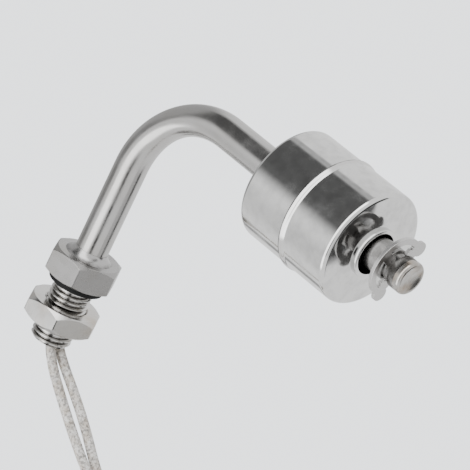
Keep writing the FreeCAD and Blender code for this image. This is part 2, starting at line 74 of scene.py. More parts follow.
def addNoise(tree, vector, size, detail=3.0, roughness=0.5):
    # soft noise whose features are about as large as size in mm
    return addNode(
        tree, "ShaderNodeTexNoise", {"Scale": 1 / (size * mm), "Detail": detail, "Roughness": roughness},
        {"Vector": vector})


def multiply(tree, first, second):
    return addNode(tree, "ShaderNodeMath", {"operation": "MULTIPLY"}, {0: first, 1: second}).outputs[0]


def addBump(tree, shader, pattern, relief, strength=1.0):
    # raises the surface by a pattern, its relief in mm
    bump = addNode(
        tree, "ShaderNodeBump", {"Strength": strength, "Distance": relief * mm},
        {"Height": pattern.outputs["Fac"]})
    tree.links.new(bump.outputs["Normal"], shader.inputs["Normal"])


def addRamp(tree, pattern, stops):
    # colours from (position, sRGB hex) pairs in rising order, picked by a pattern's value
    ramp = addNode(tree, "ShaderNodeValToRGB", links={"Fac": pattern.outputs["Fac"]})
    elements = ramp.color_ramp.elements
    for extra in stops[1:-1]:
        elements.new(extra[0])
    for element, (position, hexColour) in zip(elements, stops):
        element.position = position
        element.color = toLinear(hexColour)
    return ramp.outputs["Color"]


def finishMesh(bm, name, smoothAngle=30):
    # joins doubles, turns faces outwards and shades smooth between edges sharper than an angle
    bmesh.ops.remove_doubles(bm, verts=bm.verts, dist=0.0005 * mm)
    bmesh.ops.recalc_face_normals(bm, faces=bm.faces)
    mesh = bpy.data.meshes.new(name)
    bm.to_mesh(mesh)
    bm.free()
    mesh.shade_smooth()
    mesh.set_sharp_from_angle(angle=math.radians(smoothAngle))
    piece = bpy.data.objects.new(name, mesh)
    bpy.context.scene.collection.objects.link(piece)
    return piece


def dress(piece, body, material, nodes=()):
    # the piece takes its material, rides on its body and stands for its solids
    piece.data.materials.clear()
    piece.data.materials.append(material)
    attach(piece, body)
    if nodes:
        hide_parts(*nodes)


def turnPiece(bm, profile, centre, axis, steps=128):
    # turns a closed or open profile of (along, radius) points in mm round an axis
    across = Vector((0, 0, 1)) if axis == "X" else Vector((1, 0, 0))
    along = Vector((1, 0, 0)) if axis == "X" else Vector((0, 0, 1))
    verts = [bm.verts.new(centre + along * a * mm + across * r * mm) for a, r in profile]
    edges = [bm.edges.new(pair) for pair in zip(verts, verts[1:])]
    bmesh.ops.spin(
        bm, geom=verts + edges, cent=centre, axis=along, angle=2 * math.pi, steps=steps, use_merge=True)


def roundCorner(profile, radius, steps=6):
    # rounds the inner corners of an open profile of (along, radius) points
    shareOfSide = 0.45
    leastReach = 0.005
    rounded = [profile[0]]
    for before, corner, after in zip(profile, profile[1:], profile[2:]):
        p, c, q = Vector(before), Vector(corner), Vector(after)
        a, b = p - c, q - c
        reach = min(radius, a.length * shareOfSide, b.length * shareOfSide)
        if reach < leastReach:
            rounded.append(corner)
            continue
        start, end = c + a.normalized() * reach, c + b.normalized() * reach
        for i in range(steps + 1):
            t = i / steps
            rounded.append(tuple(start * (1 - t) ** 2 + c * 2 * t * (1 - t) + end * t ** 2))
    return rounded + [profile[-1]]


def ringLoft(bm, rings, angles):
    # draws one ring of points out through a row of shapes, so every ring keeps its order and winding;
    # each shape is (placement matrix, function from angle to (radius, shift) in mm)
    row = bmesh.ops.create_circle(bm, cap_ends=False, segments=len(angles), radius=1.0)["verts"]
    edges = list(bm.edges)
    for number, (place, shape) in enumerate(rings):
        if number:
            drawn = bmesh.ops.extrude_edge_only(bm, edges=edges)["geom"]
            fresh = {item for item in drawn if isinstance(item, bmesh.types.BMVert)}
            edges = [item for item in drawn if isinstance(item, bmesh.types.BMEdge)]
            row = [next(e.other_vert(v) for e in v.link_edges if e.other_vert(v) in fresh) for v in row]
        for angle, vert in zip(angles, row):
            radius, shift = shape(angle)
            vert.co = place @ (Vector((radius * math.cos(angle), radius * math.sin(angle), shift)) * mm)


def evenAngles(count):
    return [2 * math.pi * i / count for i in range(count)]


def fixedRing(radius):
    return lambda angle: (radius, 0.0)


print("helpers ready")

cameraView = {
    "place": (0.26275, -0.53179, -0.43546),
    "azimuth": -66.875,
    "elevation": -34.648,
    "roll": -50.171,
    "lens": 239.85,
    "sensorWidth": 36,
    "shift": 0.00106,
    "farthest": 20,
}


def makeCamera():
    # looks up at the switch from below, rolled so that the stem's legs lean both ways
    view = cameraView
    data = bpy.data.cameras.new("productCamera")
    data.sensor_width = view["sensorWidth"]
    data.lens = view["lens"]
    data.shift_x = -view["shift"]
    data.shift_y = view["shift"]
    data.clip_end = view["farthest"]
    camera = bpy.data.objects.new("productCamera", data)
    bpy.context.scene.collection.objects.link(camera)
    placed = Matrix.Translation(view["place"])
    for degrees, axis in ((view["azimuth"] + 90, "Z"), (90 - view["elevation"], "X"), (view["roll"], "Z")):
        placed = placed @ Matrix.Rotation(math.radians(degrees), 4, axis)
    camera.matrix_world = placed
    bpy.context.scene.camera = camera


makeCamera()
print("camera placed")

leadSizes = {
    "diameter": 0.0024,
    "length": 0.33,
    "exitX": -0.011,
    "sideways": 0.0013,
    "smoothness": 10,
    "roundness": 6,
}
leadStarts = {  # from the resin to the top of the shipping coil
    "lead_a": [
        (-0.007, -0.0013, 0), (-0.0116, -0.0013, -0.00005), (-0.0161, -0.00135, -0.0022),
        (-0.01975, -0.0014, -0.0059), (-0.0228, -0.00125, -0.01), (-0.028, -0.00125, -0.0179),
        (-0.0345, -0.0013, -0.0292), (-0.0391, -0.0013, -0.0406), (-0.0402, -0.00125, -0.052),
        (-0.0402, -0.00125, -0.062),
    ],
    "lead_b": [
        (-0.007, 0.0013, 0), (-0.0116, 0.0013, -0.00005), (-0.0159, 0.00135, -0.0023),
        (-0.01905, 0.0014, -0.0069), (-0.0216, 0.00125, -0.0118), (-0.0266, 0.00125, -0.0199),
        (-0.0343, 0.0013, -0.0298), (-0.039, 0.0013, -0.0408), (-0.0402, 0.00125, -0.0522),
        (-0.0402, 0.00125, -0.062),
    ],
}
leadTails = {  # from the coil to the bare tips
    "lead_a": [
        (-0.0402, 0.00865, -0.082), (-0.0402, 0.0086, -0.092), (-0.0412, 0.0075, -0.102),
        (-0.041, 0.0064, -0.1125), (-0.0422, 0.0054, -0.122),
    ],
    "lead_b": [
        (-0.0402, 0.01115, -0.082), (-0.0401, 0.0112, -0.092), (-0.039, 0.0122, -0.1015),
        (-0.0382, 0.0126, -0.112), (-0.0368, 0.0136, -0.1215),
    ],
}
coilSizes = {
    "x": -48.2, "topZ": -62.0, "bottomZ": -82.0, "radius": 8.0, "turns": 2, "travel": 9.9,
    "firstDown": (-69.4, -76.8), "down": (-66.0, -72.0, -78.0), "up": (-78.0, -72.0, -66.0),
    "lastDown": (-66.0, -72.0, -77.0), "arcPoints": 6, "bow": 0.7, "tightening": 0.035, "wander": 0.04,
    "decimals": 5,
}


def coilTurns(startY, draws):
    # route points of the shipping coil: straight sides joined by half rounds, a little uneven,
    # each turn lying beside the one before
    s = coilSizes
    straight = s["topZ"] - s["bottomZ"]
    halfRound = math.pi * s["radius"]
    turnLength = 2 * (straight + halfRound)
    cornerR = s["radius"] / math.cos(math.pi / 2 / s["arcPoints"])
    points = []

    def addPoint(x, z, along, wander=0.0):
        beside = s["travel"] * min(along / (s["turns"] * turnLength), 1.0)
        spot = (x, startY + beside + wander, z)
        points.append(tuple(round(size * mm, s["decimals"]) for size in spot))

    def drawWander():
        return draws.uniform(-s["wander"], s["wander"])

    def addHalfRound(side, centreZ, begun):
        # side is 1 for the round at the bottom and -1 for the one at the top
        for i in range(s["arcPoints"]):
            turn = math.pi * (i + 0.5) / s["arcPoints"]
            pull = side * cornerR * (1 - draws.uniform(0, s["tightening"]))
            addPoint(
                s["x"] + pull * math.cos(turn), centreZ - pull * math.sin(turn),
                begun + s["radius"] * turn, drawWander())

    for number in range(s["turns"]):
        begun = number * turnLength
        for z in s["down"] if number else s["firstDown"]:
            addPoint(s["x"] + s["radius"], z, begun + s["topZ"] - z)
        addHalfRound(1, s["bottomZ"], begun + straight)
        for z in s["up"]:
            bow = draws.uniform(0, s["bow"])
            addPoint(
                s["x"] - s["radius"] + bow, z, begun + straight + halfRound + z - s["bottomZ"], drawWander())
        addHalfRound(-1, s["topZ"], begun + 2 * straight + halfRound)
    for z in s["lastDown"]:
        addPoint(s["x"] + s["radius"], z, s["turns"] * turnLength)
    return points


braidLook = {
    "roughness": 0.62, "sheen": 0.25, "fleck": 0.6667, "patch": 2.381, "relief": 0.12, "stained": 0.8,
    "flecks": ((0.36, "#8f8d8b"), (0.47, "#cdc9c4"), (0.6, "#f0eeeb")),
    "stains": ((0.38, "#ded6cb"), (0.58, "#ffffff")),
}


def glassBraid():
    # varnished glass braid: a soft off-white weave flecked with grey and tan where fibres lift
    look = braidLook
    material, tree, shader = newMaterial(
        "varnishedGlassBraid", {"Roughness": look["roughness"], "Sheen Weight": look["sheen"]})
    place = addNode(tree, "ShaderNodeTexCoord").outputs["Object"]
    fleck = addNoise(tree, place, look["fleck"], roughness=0.6)
    patch = addNoise(tree, place, look["patch"], detail=2.0)
    mix = addNode(
        tree, "ShaderNodeMix", {"data_type": "RGBA", "blend_type": "MULTIPLY", 0: look["stained"]},
        {6: addRamp(tree, fleck, look["flecks"]), 7: addRamp(tree, patch, look["stains"])})
    tree.links.new(mix.outputs[2], shader.inputs["Base Color"])
    addBump(tree, shader, fleck, look["relief"], strength=0.5)
    return material


def makeLead(name, draws, material):
    # one lead on a smooth spline: down from the resin, round the coil and down to its tip
    startY = leadStarts[name][-1][1] / mm
    route = leadStarts[name] + coilTurns(startY, draws) + leadTails[name]
    curve = bpy.data.curves.new(name + "_braid", "CURVE")
    curve.dimensions = "3D"
    spline = curve.splines.new("NURBS")
    spline.points.add(len(route) - 1)
    for point, spot in zip(spline.points, route):
        point.co = (*spot, 1.0)
    spline.order_u = 3
    spline.use_endpoint_u = True
    spline.resolution_u = leadSizes["smoothness"]
    curve.bevel_depth = leadSizes["diameter"] / 2
    curve.bevel_resolution = leadSizes["roundness"]
    curve.use_fill_caps = True
    piece = bpy.data.objects.new(name + "_braid", curve)
    bpy.context.scene.collection.objects.link(piece)
    curve.materials.append(material)
    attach(piece, "body")
    return piece


braid = glassBraid()
leadPieces = {name: makeLead(name, random.Random(seed), braid) for seed, name in enumerate(leadStarts, 1)}
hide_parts("lead_a", "lead_coil")
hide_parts("lead_b")
print("leads laid")

smearSize = 3.846  # mm, a smear left by a finger or cloth
mottleSize = 2.0  # mm, the blotches that break up the painted shade and the darkened plug end


def steelBase(name, look):
    # stainless steel: fine lines or grain of a real size, with patchy gloss where hands and tools touched
    material, tree, shader = newMaterial(name, {
        "Metallic": 1.0, "Base Color": toLinear(look["colour"]), "Roughness": look["roughness"]})
    place = addNode(tree, "ShaderNodeTexCoord").outputs["Object"]
    stretch = look.get("stretch", (1.0, 1.0, 1.0))
    squeeze = addNode(tree, "ShaderNodeMapping", {"Scale": stretch}, {"Vector": place})
    grain = addNoise(tree, squeeze.outputs["Vector"], look["grain"], detail=2.0, roughness=0.55)
    addBump(tree, shader, grain, look["relief"])
    if "spread" in look:
        smear = addNoise(tree, place, smearSize)
        gloss = addNode(tree, "ShaderNodeMapRange", {
            "From Min": 0.35, "From Max": 0.65, "To Min": max(look["roughness"] - look["spread"], 0.02),
            "To Max": look["roughness"] + look["spread"]}, {"Value": smear.outputs["Fac"]})
        tree.links.new(gloss.outputs["Result"], shader.inputs["Roughness"])
    if "tint" in look:
        tint = look["tint"]
        cloud = addNoise(tree, place, tint["size"], detail=2.0)
        colours = addRamp(tree, cloud, ((tint["from"], look["colour"]), (tint["to"], tint["colour"])))
        tree.links.new(colours, shader.inputs["Base Color"])
    return material


turnedSteel = steelBase("turnedStainlessBar", {  # lathe and file lines across the bar, yellowed by dried oil
    "colour": "#9c9b9a", "roughness": 0.27, "grain": 0.22, "relief": 0.004, "stretch": (1.0, 0.12, 0.12),
    "spread": 0.06, "tint": {"size": 6.0, "from": 0.45, "to": 0.8, "colour": "#93918d"}})
threadSteel = steelBase("rolledStainlessThread", {  # bright flanks with fine lines along the ridge
    "colour": "#c6c5c3", "roughness": 0.17, "grain": 0.3, "relief": 0.004, "stretch": (0.3, 1.0, 1.0),
    "spread": 0.06})
nutSteel = steelBase("drawnStainlessHexBar", {  # bright, with a straw tint from heat and handling
    "colour": "#c5c4c2", "roughness": 0.19, "grain": 0.3, "relief": 0.005, "stretch": (0.15, 1.0, 1.0),
    "spread": 0.05, "tint": {"size": 9.0, "from": 0.5, "to": 0.9, "colour": "#b5a794"}})
tubeSteel = steelBase("drawnStainlessTube", {  # pickled, satin and softly clouded
    "colour": "#b7b6b5", "roughness": 0.22, "grain": 0.5, "relief": 0.005,
    "spread": 0.05, "tint": {"size": 9.0, "from": 0.4, "to": 0.9, "colour": "#acaaa6"}})
floatSteel = steelBase("polishedStainlessSheet", {  # mirror bright, with faint waves left by the buff
    "colour": "#d7d7d6", "roughness": 0.1, "grain": 5.0, "relief": 0.006,
    "spread": 0.06, "tint": {"size": 2.5, "from": 0.42, "to": 0.75, "colour": "#c6c6c5"}})
weldSteel = steelBase("dressedSeamWeld", {  # a little duller than the sheet
    "colour": "#d0cfce", "roughness": 0.13, "grain": 0.5, "relief": 0.01, "spread": 0.05})
neckSteel = steelBase("turnedWeldCollar", {  # satin turned collar
    "colour": "#b0afae", "roughness": 0.24, "grain": 0.5, "relief": 0.003, "spread": 0.05})
clipSteel = steelBase("tumbledSpringStrip", {  # stamped and tumbled: pale and matt
    "colour": "#c6c5c4", "roughness": 0.3, "grain": 0.3, "relief": 0.003})
capSteel = steelBase("weldedEndPlug", {  # straw patches left by the weld
    "colour": "#c2c1bf", "roughness": 0.22, "grain": 0.5, "relief": 0.006,
    "spread": 0.06, "tint": {"size": 3.0, "from": 0.45, "to": 0.85, "colour": "#a8957f"}})


def darkenBy(material, measure, start, end, colour, strength, roughness=None, evenness=0.35):
    # a second colour that fades out from start to end of a measure: the radius from the X axis or the
    # height, both in mm, or how far the surface faces up
    tree = material.node_tree
    shader = next(node for node in tree.nodes if node.type == "BSDF_PRINCIPLED")
    socket = shader.inputs["Base Color"]
    place = addNode(tree, "ShaderNodeTexCoord")
    parts = addNode(tree, "ShaderNodeSeparateXYZ", links={"Vector": place.outputs["Object"]})
    unit = mm
    if measure == "radius":
        cross = addNode(
            tree, "ShaderNodeCombineXYZ", links={"Y": parts.outputs["Y"], "Z": parts.outputs["Z"]})
        reach = addNode(tree, "ShaderNodeVectorMath", {"operation": "LENGTH"}, {0: cross.outputs["Vector"]})
        value = reach.outputs["Value"]
    elif measure == "facing":
        facing = addNode(tree, "ShaderNodeSeparateXYZ", links={"Vector": place.outputs["Normal"]})
        value = facing.outputs["Z"]
        unit = 1.0
    else:
        value = parts.outputs["Z"]
    mottle = addNoise(tree, place.outputs["Object"], mottleSize)
    amount = addNode(
        tree, "ShaderNodeMapRange",
        {"From Min": start * unit, "From Max": end * unit, "To Min": strength, "To Max": 0.0},
        {"Value": value})
    uneven = addNode(
        tree, "ShaderNodeMapRange", {"From Min": 0.35, "From Max": 0.6, "To Min": evenness, "To Max": 1.0},
        {"Value": mottle.outputs["Fac"]})
    both = multiply(tree, amount.outputs["Result"], uneven.outputs["Result"])
    mix = addNode(
        tree, "ShaderNodeMix", {"data_type": "RGBA", 6: socket.default_value, 7: toLinear(colour)},
        {0: both})
    if socket.is_linked:
        tree.links.new(socket.links[0].from_socket, mix.inputs[6])
    tree.links.new(mix.outputs[2], socket)
    if roughness:
        dull = addNode(
            tree, "ShaderNodeMapRange", {
                "From Min": 0.0, "From Max": strength,
                "To Min": shader.inputs["Roughness"].default_value, "To Max": roughness},
            {"Value": amount.outputs["Result"]})
        tree.links.new(dull.outputs["Result"], shader.inputs["Roughness"])


def plainFinish(name, hexColour, roughness, grain, relief, second=None, **more):
    # a non-metal with fine grain of a real size in mm and, where given, a second colour in soft patches
    material, tree, shader = newMaterial(
        name, {"Base Color": toLinear(hexColour), "Roughness": roughness, **more})
    place = addNode(tree, "ShaderNodeTexCoord").outputs["Object"]
    pattern = addNoise(tree, place, grain)
    addBump(tree, shader, pattern, relief)
    if second:
        colours = addRamp(tree, pattern, ((0.4, hexColour), (0.62, second)))
        tree.links.new(colours, shader.inputs["Base Color"])
    return material


darkenBy(threadSteel, "radius", 4.25, 4.75, "#4c4741", strength=0.85)  # painted shade in the thread roots, darkest at the root radius
darkenBy(neckSteel, "radius", 5.95, 4.9, "#3a3836", strength=0.9)  # painted shade at the collar's foot against the hex face, fading up the collar
darkenBy(tubeSteel, "height", -78.5, -69.0, "#565452", strength=1.0)  # painted dark reflection on the stem's lower end, fading out upwards
darkenBy(weldSteel, "height", -56.58, -56.7, "#1c1b1b", strength=0.95)  # painted shade on the upper side of the seam bead
darkenBy(  # painted shade on the strip's upper side, which is also made rougher
    clipSteel, "facing", 0.9, 0.5, "#626160", strength=1.0, roughness=0.6, evenness=0.9)
darkenBy(capSteel, "height", -83.2, -80.0, "#6b6258", strength=0.5)  # darker and browner towards the dished end face
print("materials ready")

hexSizes = {
    "acrossFlats": 16.0, "seatX": 1.5, "height": 6.4, "faceRatio": 0.97, "cornerDeg": 216.6,
    "chamferDeg": 30, "landDeg": 0.8, "edge": 0.05, "boreR": 3.5,
}
neckSizes = {
    "base": 5.9, "top": 4.1, "height": 1.9, "sag": 0.3, "steps": 12, "root": 0.4, "lap": 0.01, "wall": 0.2,
}
shankSizes = {
    "threadR": 5.0, "rootR": 4.23, "boreR": 3.5, "pitch": 1.25, "tipX": -15.4, "tipR": 4.3, "lip": 0.6,
    "tipEdge": 0.03, "coreEndX": 2.0, "ridgeStartX": -16.3, "ridgeEndX": 1.0,
    "toothFoot": 0.45, "toothCrest": 0.08, "toothRoot": 0.2, "stepsPerTurn": 64,
}


def hexOutline(sizes):
    # radius of a hexagon by angle from one corner, its corners broken by a narrow land
    half = sizes["acrossFlats"] / 2
    across = math.radians(sizes["landDeg"])

    def radius(angle):
        side = angle % (math.pi / 3)
        side = min(side, math.pi / 3 - side)
        flat = half / math.cos(max(side, across) - math.pi / 6)
        return flat * math.cos(across) / math.cos(side) if side < across else flat

    return radius


def hexAngles(sizes):
    # points round a hexagon, close together at its corners
    land = sizes["landDeg"]
    beside = 2.2 * land
    spans = 12
    sector = [0, land, beside] + [beside + (60 - 2 * beside) * i / spans for i in range(1, spans)]
    sector += [60 - beside, 60 - land]
    return [math.radians(60 * i + degrees) for i in range(6) for degrees in sector]


def chamferedHex(bm, sizes, startX, height, startBore, endBore):
    # hexagonal bar along X with its corners turned down at both ends, closed through its bore;
    # a bore end is a list of (distance from its face, radius)
    outline = hexOutline(sizes)
    faceR = sizes["faceRatio"] * sizes["acrossFlats"] / 2
    slope = math.tan(math.radians(sizes["chamferDeg"]))
    turn = Matrix(((0, 0, 1), (1, 0, 0), (0, 1, 0))).to_4x4() @ Matrix.Rotation(
        math.radians(sizes["cornerDeg"]), 4, "Z")

    def at(x):
        return Matrix.Translation((x * mm, 0, 0)) @ turn

    def turned(lift, side):
        # outline ring pushed back by the chamfer, and drawn in a little where the edge is broken
        return lambda angle: (outline(angle) - lift, side * max(outline(angle) - lift - faceR, 0) * slope)

    soft = sizes["edge"]
    endX = startX + height
    rings = [(at(startX + inset), fixedRing(r)) for inset, r in startBore]
    rings += [
        (at(startX), fixedRing(faceR)),
        (at(startX), turned(soft, 1)), (at(startX + soft), turned(0, 1)),
        (at(endX - soft), turned(0, -1)), (at(endX), turned(soft, -1)),
        (at(endX), fixedRing(faceR)),
    ]
    rings += [(at(endX - inset), fixedRing(r)) for inset, r in endBore]
    ringLoft(bm, rings + rings[:1], hexAngles(sizes))


def helixRidge(bm, sizes):
    # right-hand thread ridge: one tooth spun with a lead per turn, trimmed to the lead-in cone
    pitch, root, startX = sizes["pitch"], sizes["rootR"], sizes["ridgeStartX"]
    foot, crest, inside = sizes["toothFoot"] * pitch, sizes["toothCrest"] * pitch, root - sizes["toothRoot"]
    tooth = [
        (-foot, inside), (-foot, root), (-crest, sizes["threadR"]),
        (crest, sizes["threadR"]), (foot, root), (foot, inside),
    ]
    verts = [bm.verts.new(((startX + a) * mm, 0, r * mm)) for a, r in tooth]
    face = bm.faces.new(verts)
    length = sizes["ridgeEndX"] - startX
    turns = length / pitch
    steps = int(sizes["stepsPerTurn"] * turns)
    bmesh.ops.spin(
        bm, geom=[face] + list(face.edges) + verts, cent=(0, 0, 0), axis=(1, 0, 0),
        dvec=(length * mm / steps, 0, 0), angle=2 * math.pi * turns, steps=steps)
    for vert in bm.verts:
        reach = math.hypot(vert.co.y, vert.co.z) / mm
        limit = sizes["tipR"] + max(vert.co.x / mm - sizes["tipX"], 0.0)
        if reach > limit:
            vert.co.y *= limit / reach
            vert.co.z *= limit / reach
        vert.co.x = max(vert.co.x, sizes["tipX"] * mm)


def makeHexHead():
    s = hexSizes
    bm = bmesh.new()
    chamferedHex(bm, s, s["seatX"], s["height"], [(0, s["boreR"])], [(0, s["boreR"])])
    head = finishMesh(bm, "hexHead", smoothAngle=20)
    dress(head, "body", turnedSteel, ["hex_fitting"])


def makeWeldNeck():
    # sagging cone from the hex face up to the tube
    s = neckSizes
    startX = hexSizes["seatX"] + hexSizes["height"]
    middleR = (s["base"] + s["top"]) / 2 - 2 * s["sag"]
    profile = [(startX - s["root"], s["base"])]
    for i in range(s["steps"] + 1):
        t = i / s["steps"]
        bulge = 2 * t * (1 - t)
        profile.append((
            startX - s["lap"] + t * s["height"] - bulge * s["sag"],
            (1 - t) ** 2 * s["base"] + bulge * middleR + t * t * s["top"]))
    profile.append((startX + s["height"], s["top"] - s["wall"]))
    bm = bmesh.new()
    turnPiece(bm, profile, Vector(), "X")
    dress(finishMesh(bm, "weldNeck", smoothAngle=50), "body", neckSteel)


def makeShank():
    # hollow core with a lip chamfer, and the thread ridge round it
    s = shankSizes
    bm = bmesh.new()
    turnPiece(bm, [
        (s["coreEndX"], s["boreR"]), (s["coreEndX"], s["rootR"]), (s["tipX"] + s["tipEdge"], s["rootR"]),
        (s["tipX"], s["rootR"] - s["tipEdge"]), (s["tipX"], s["boreR"] + s["lip"]),
        (s["tipX"] + s["lip"], s["boreR"]), (s["coreEndX"], s["boreR"]),
    ], Vector(), "X")
    dress(finishMesh(bm, "shankCore"), "body", threadSteel)
    bm = bmesh.new()
    helixRidge(bm, s)
    dress(finishMesh(bm, "shankThread", smoothAngle=35), "body", threadSteel)


makeHexHead()
makeWeldNeck()
makeShank()
print("hex fitting done")

gasketSizes = {"bore": 5.05, "radius": 6.8, "thickness": 1.5, "edge": 0.25}


def makeGasket():
    s = gasketSizes
    half = s["thickness"] / 2
    profile = [
        (half, s["bore"]), (0.0, s["bore"]), (0.0, s["radius"]), (s["thickness"], s["radius"]),
        (s["thickness"], s["bore"]), (half, s["bore"]),
    ]
    bm = bmesh.new()
    turnPiece(bm, roundCorner(profile, s["edge"]), Vector(), "X")
    rubber = plainFinish(  # black and dull, its moulded skin faintly uneven
        "nitrileRubber", "#0d0e0e", roughness=0.7, grain=0.35, relief=0.02, second="#151616",
        **{"Specular IOR Level": 0.25})
    dress(finishMesh(bm, "wallGasket", smoothAngle=50), "body", rubber, ["sealing_gasket"])


makeGasket()

nutSizes = {
    "acrossFlats": 16.8, "thickness": 5.1, "frontX": -5.3, "faceRatio": 0.98, "cornerDeg": 217.7,
    "bore": 5.05, "countersink": 0.45, "edge": 0.05, "chamferDeg": 40, "landDeg": 0.8,
}


def makeLockNut():
    s = nutSizes
    mouth = [(s["countersink"], s["bore"]), (0, s["bore"] + s["countersink"])]
    bm = bmesh.new()
    chamferedHex(bm, s, s["frontX"] - s["thickness"], s["thickness"], mouth, mouth[::-1])
    nut = finishMesh(bm, "lockNutBody", smoothAngle=20)
    dress(nut, "lock_nut", nutSteel, ["lock_nut"])


makeLockNut()
print("gasket and lock nut done")

stemSizes = {
    "radius": 4.0, "bendR": 21.8, "x": 53.9, "startX": 8.6, "middleZ": -30.0, "endZ": -81.6, "boreR": 3.0,
    "grooveR": 3.5, "upperGroove": (-38.4, -40.4), "lowerGroove": (-77.8, -79.8), "edge": 0.06, "land": 1.0,
    "flattening": 0.08, "sides": 96, "straightSteps": 8, "bendSteps": 60,
}


def makeStem():
    s = stemSizes
    acrossX = Matrix(((0, 0, 1), (0, 1, 0), (-1, 0, 0))).to_4x4()  # ring square to X, first point downwards
    wall = fixedRing(s["radius"])
    bendX = s["x"] - s["bendR"]
    rings = []
    for i in range(s["straightSteps"] + 1):
        x = s["startX"] + (bendX - s["startX"]) * i / s["straightSteps"]
        rings.append((Matrix.Translation((x * mm, 0, 0)) @ acrossX, wall))
    for i in range(1, s["bendSteps"] + 1):
        turn = math.pi / 2 * i / s["bendSteps"]
        flat = 1 - s["flattening"] * math.sin(2 * turn) ** 2  # drawn thinner across the bend by the bender
        spot = Vector((bendX + s["bendR"] * math.sin(turn), 0, s["bendR"] * (math.cos(turn) - 1)))
        placed = Matrix.Translation(spot * mm) @ Matrix.Rotation(turn, 4, "Y") @ acrossX
        rings.append((placed @ Matrix.Diagonal((flat, 1.0, 1.0, 1.0)), wall))
    down = Matrix.Rotation(math.pi / 2, 4, "Y") @ acrossX

    def levelRing(z, radius):
        rings.append((Matrix.Translation((s["x"] * mm, 0, z * mm)) @ down, fixedRing(radius)))

    levelRing(s["middleZ"], s["radius"])
    for top, bottom in (s["upperGroove"], s["lowerGroove"]):
        levelRing(top + s["edge"], s["radius"])
        levelRing(top, s["radius"] - s["edge"])
        levelRing(top, s["grooveR"])
        levelRing(bottom, s["grooveR"])
        levelRing(bottom, s["radius"] - s["edge"])
        levelRing(bottom - s["edge"], s["radius"])
        levelRing(bottom - s["edge"] - s["land"], s["radius"])
    levelRing(s["endZ"], s["radius"])
    levelRing(s["endZ"], s["boreR"])
    bm = bmesh.new()
    ringLoft(bm, rings, evenAngles(s["sides"]))
    stem = finishMesh(bm, "bentStem", smoothAngle=35)
    dress(stem, "body", tubeSteel, ["stem_tube"])


makeStem()

capSizes = {
    "radius": 4.0, "topZ": -81.6, "endZ": -83.4, "spigot": 1.6, "spigotR": 2.98,
    "round": 0.8, "roundSteps": 8, "dishR": 3.0, "dishDepth": 0.35, "dishSteps": 12,
}


def makeEndCap():
    # plug with a rounded edge and a shallow dish in its face
    s = capSizes
    spigotZ = s["topZ"] + s["spigot"]
    profile = [(spigotZ, 0.0), (spigotZ, s["spigotR"]), (s["topZ"], s["spigotR"]), (s["topZ"], s["radius"])]
    for i in range(s["roundSteps"] + 1):
        turn = math.pi / 2 * i / s["roundSteps"]
        profile.append((
            s["endZ"] + s["round"] * (1 - math.sin(turn)), s["radius"] - s["round"] * (1 - math.cos(turn))))
    for i in range(s["dishSteps"] + 1):
        t = 1 - i / s["dishSteps"]
        profile.append((s["endZ"] + s["dishDepth"] * (1 - t * t), s["dishR"] * t))
    bm = bmesh.new()
    turnPiece(bm, profile, Vector((stemSizes["x"] * mm, 0, 0)), "Z")
    cap = finishMesh(bm, "stemEndCap", smoothAngle=40)
    dress(cap, "body", capSteel, ["stem_end_cap"])


makeEndCap()
print("stem done")

clipSizes = {"edge": 0.1, "edgeSteps": 3, "cornerDeg": 50, "smoothDeg": 12, "joinGap": 0.001, "flatDeg": 1}


def makeClip(node, name):
    # the solid's own shape, its flat faces made whole and its sharp edges broken by tumbling
    s = clipSizes
    bm = bmesh.new()
    bm.from_mesh(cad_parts[node].data)
    bmesh.ops.remove_doubles(bm, verts=bm.verts, dist=s["joinGap"] * mm)
    bmesh.ops.dissolve_limit(bm, angle_limit=math.radians(s["flatDeg"]), verts=bm.verts, edges=bm.edges)
    corners = [edge for edge in bm.edges if edge.calc_face_angle(0.0) > math.radians(s["cornerDeg"])]
    bmesh.ops.bevel(
        bm, geom=corners, offset=s["edge"] * mm, offset_type="OFFSET", segments=s["edgeSteps"], profile=0.5,
        affect="EDGES", clamp_overlap=True)
    clip = finishMesh(bm, name, smoothAngle=s["smoothDeg"])
    dress(clip, "body", clipSteel, [node])


makeClip("upper_retaining_clip", "upperClip")
makeClip("lower_retaining_clip", "lowerClip")

floatSizes = {
    "radius": 14.0, "midZ": -56.7, "halfCylinder": 13.8, "rise": 0.9, "corner": 1.0, "cornerSteps": 10,
    "wall": 0.6, "ledgeR": 6.6, "lean": 0.5, "leanDeg": 197.9, "sides": 192,
    "lowerFlare": 0.2, "flareHeight": 0.7, "flareSteps": 8, "flareLand": 0.1,
    "seamHalf": 0.6, "seamProud": 0.41, "seamCrest": 0.35, "seamSteps": 18,
    "bore": 5.05, "tubeR": 5.6, "rimR": 6.1, "rimHeight": 1.0, "rimRound": 0.42, "rimSteps": 8,
}
floatTop = floatSizes["halfCylinder"] + floatSizes["rise"]
floatLean = math.radians(floatSizes["leanDeg"])
floatMiddle = Vector((
    stemSizes["x"] + floatSizes["lean"] * math.cos(floatLean),
    floatSizes["lean"] * math.sin(floatLean), floatSizes["midZ"])) * mm


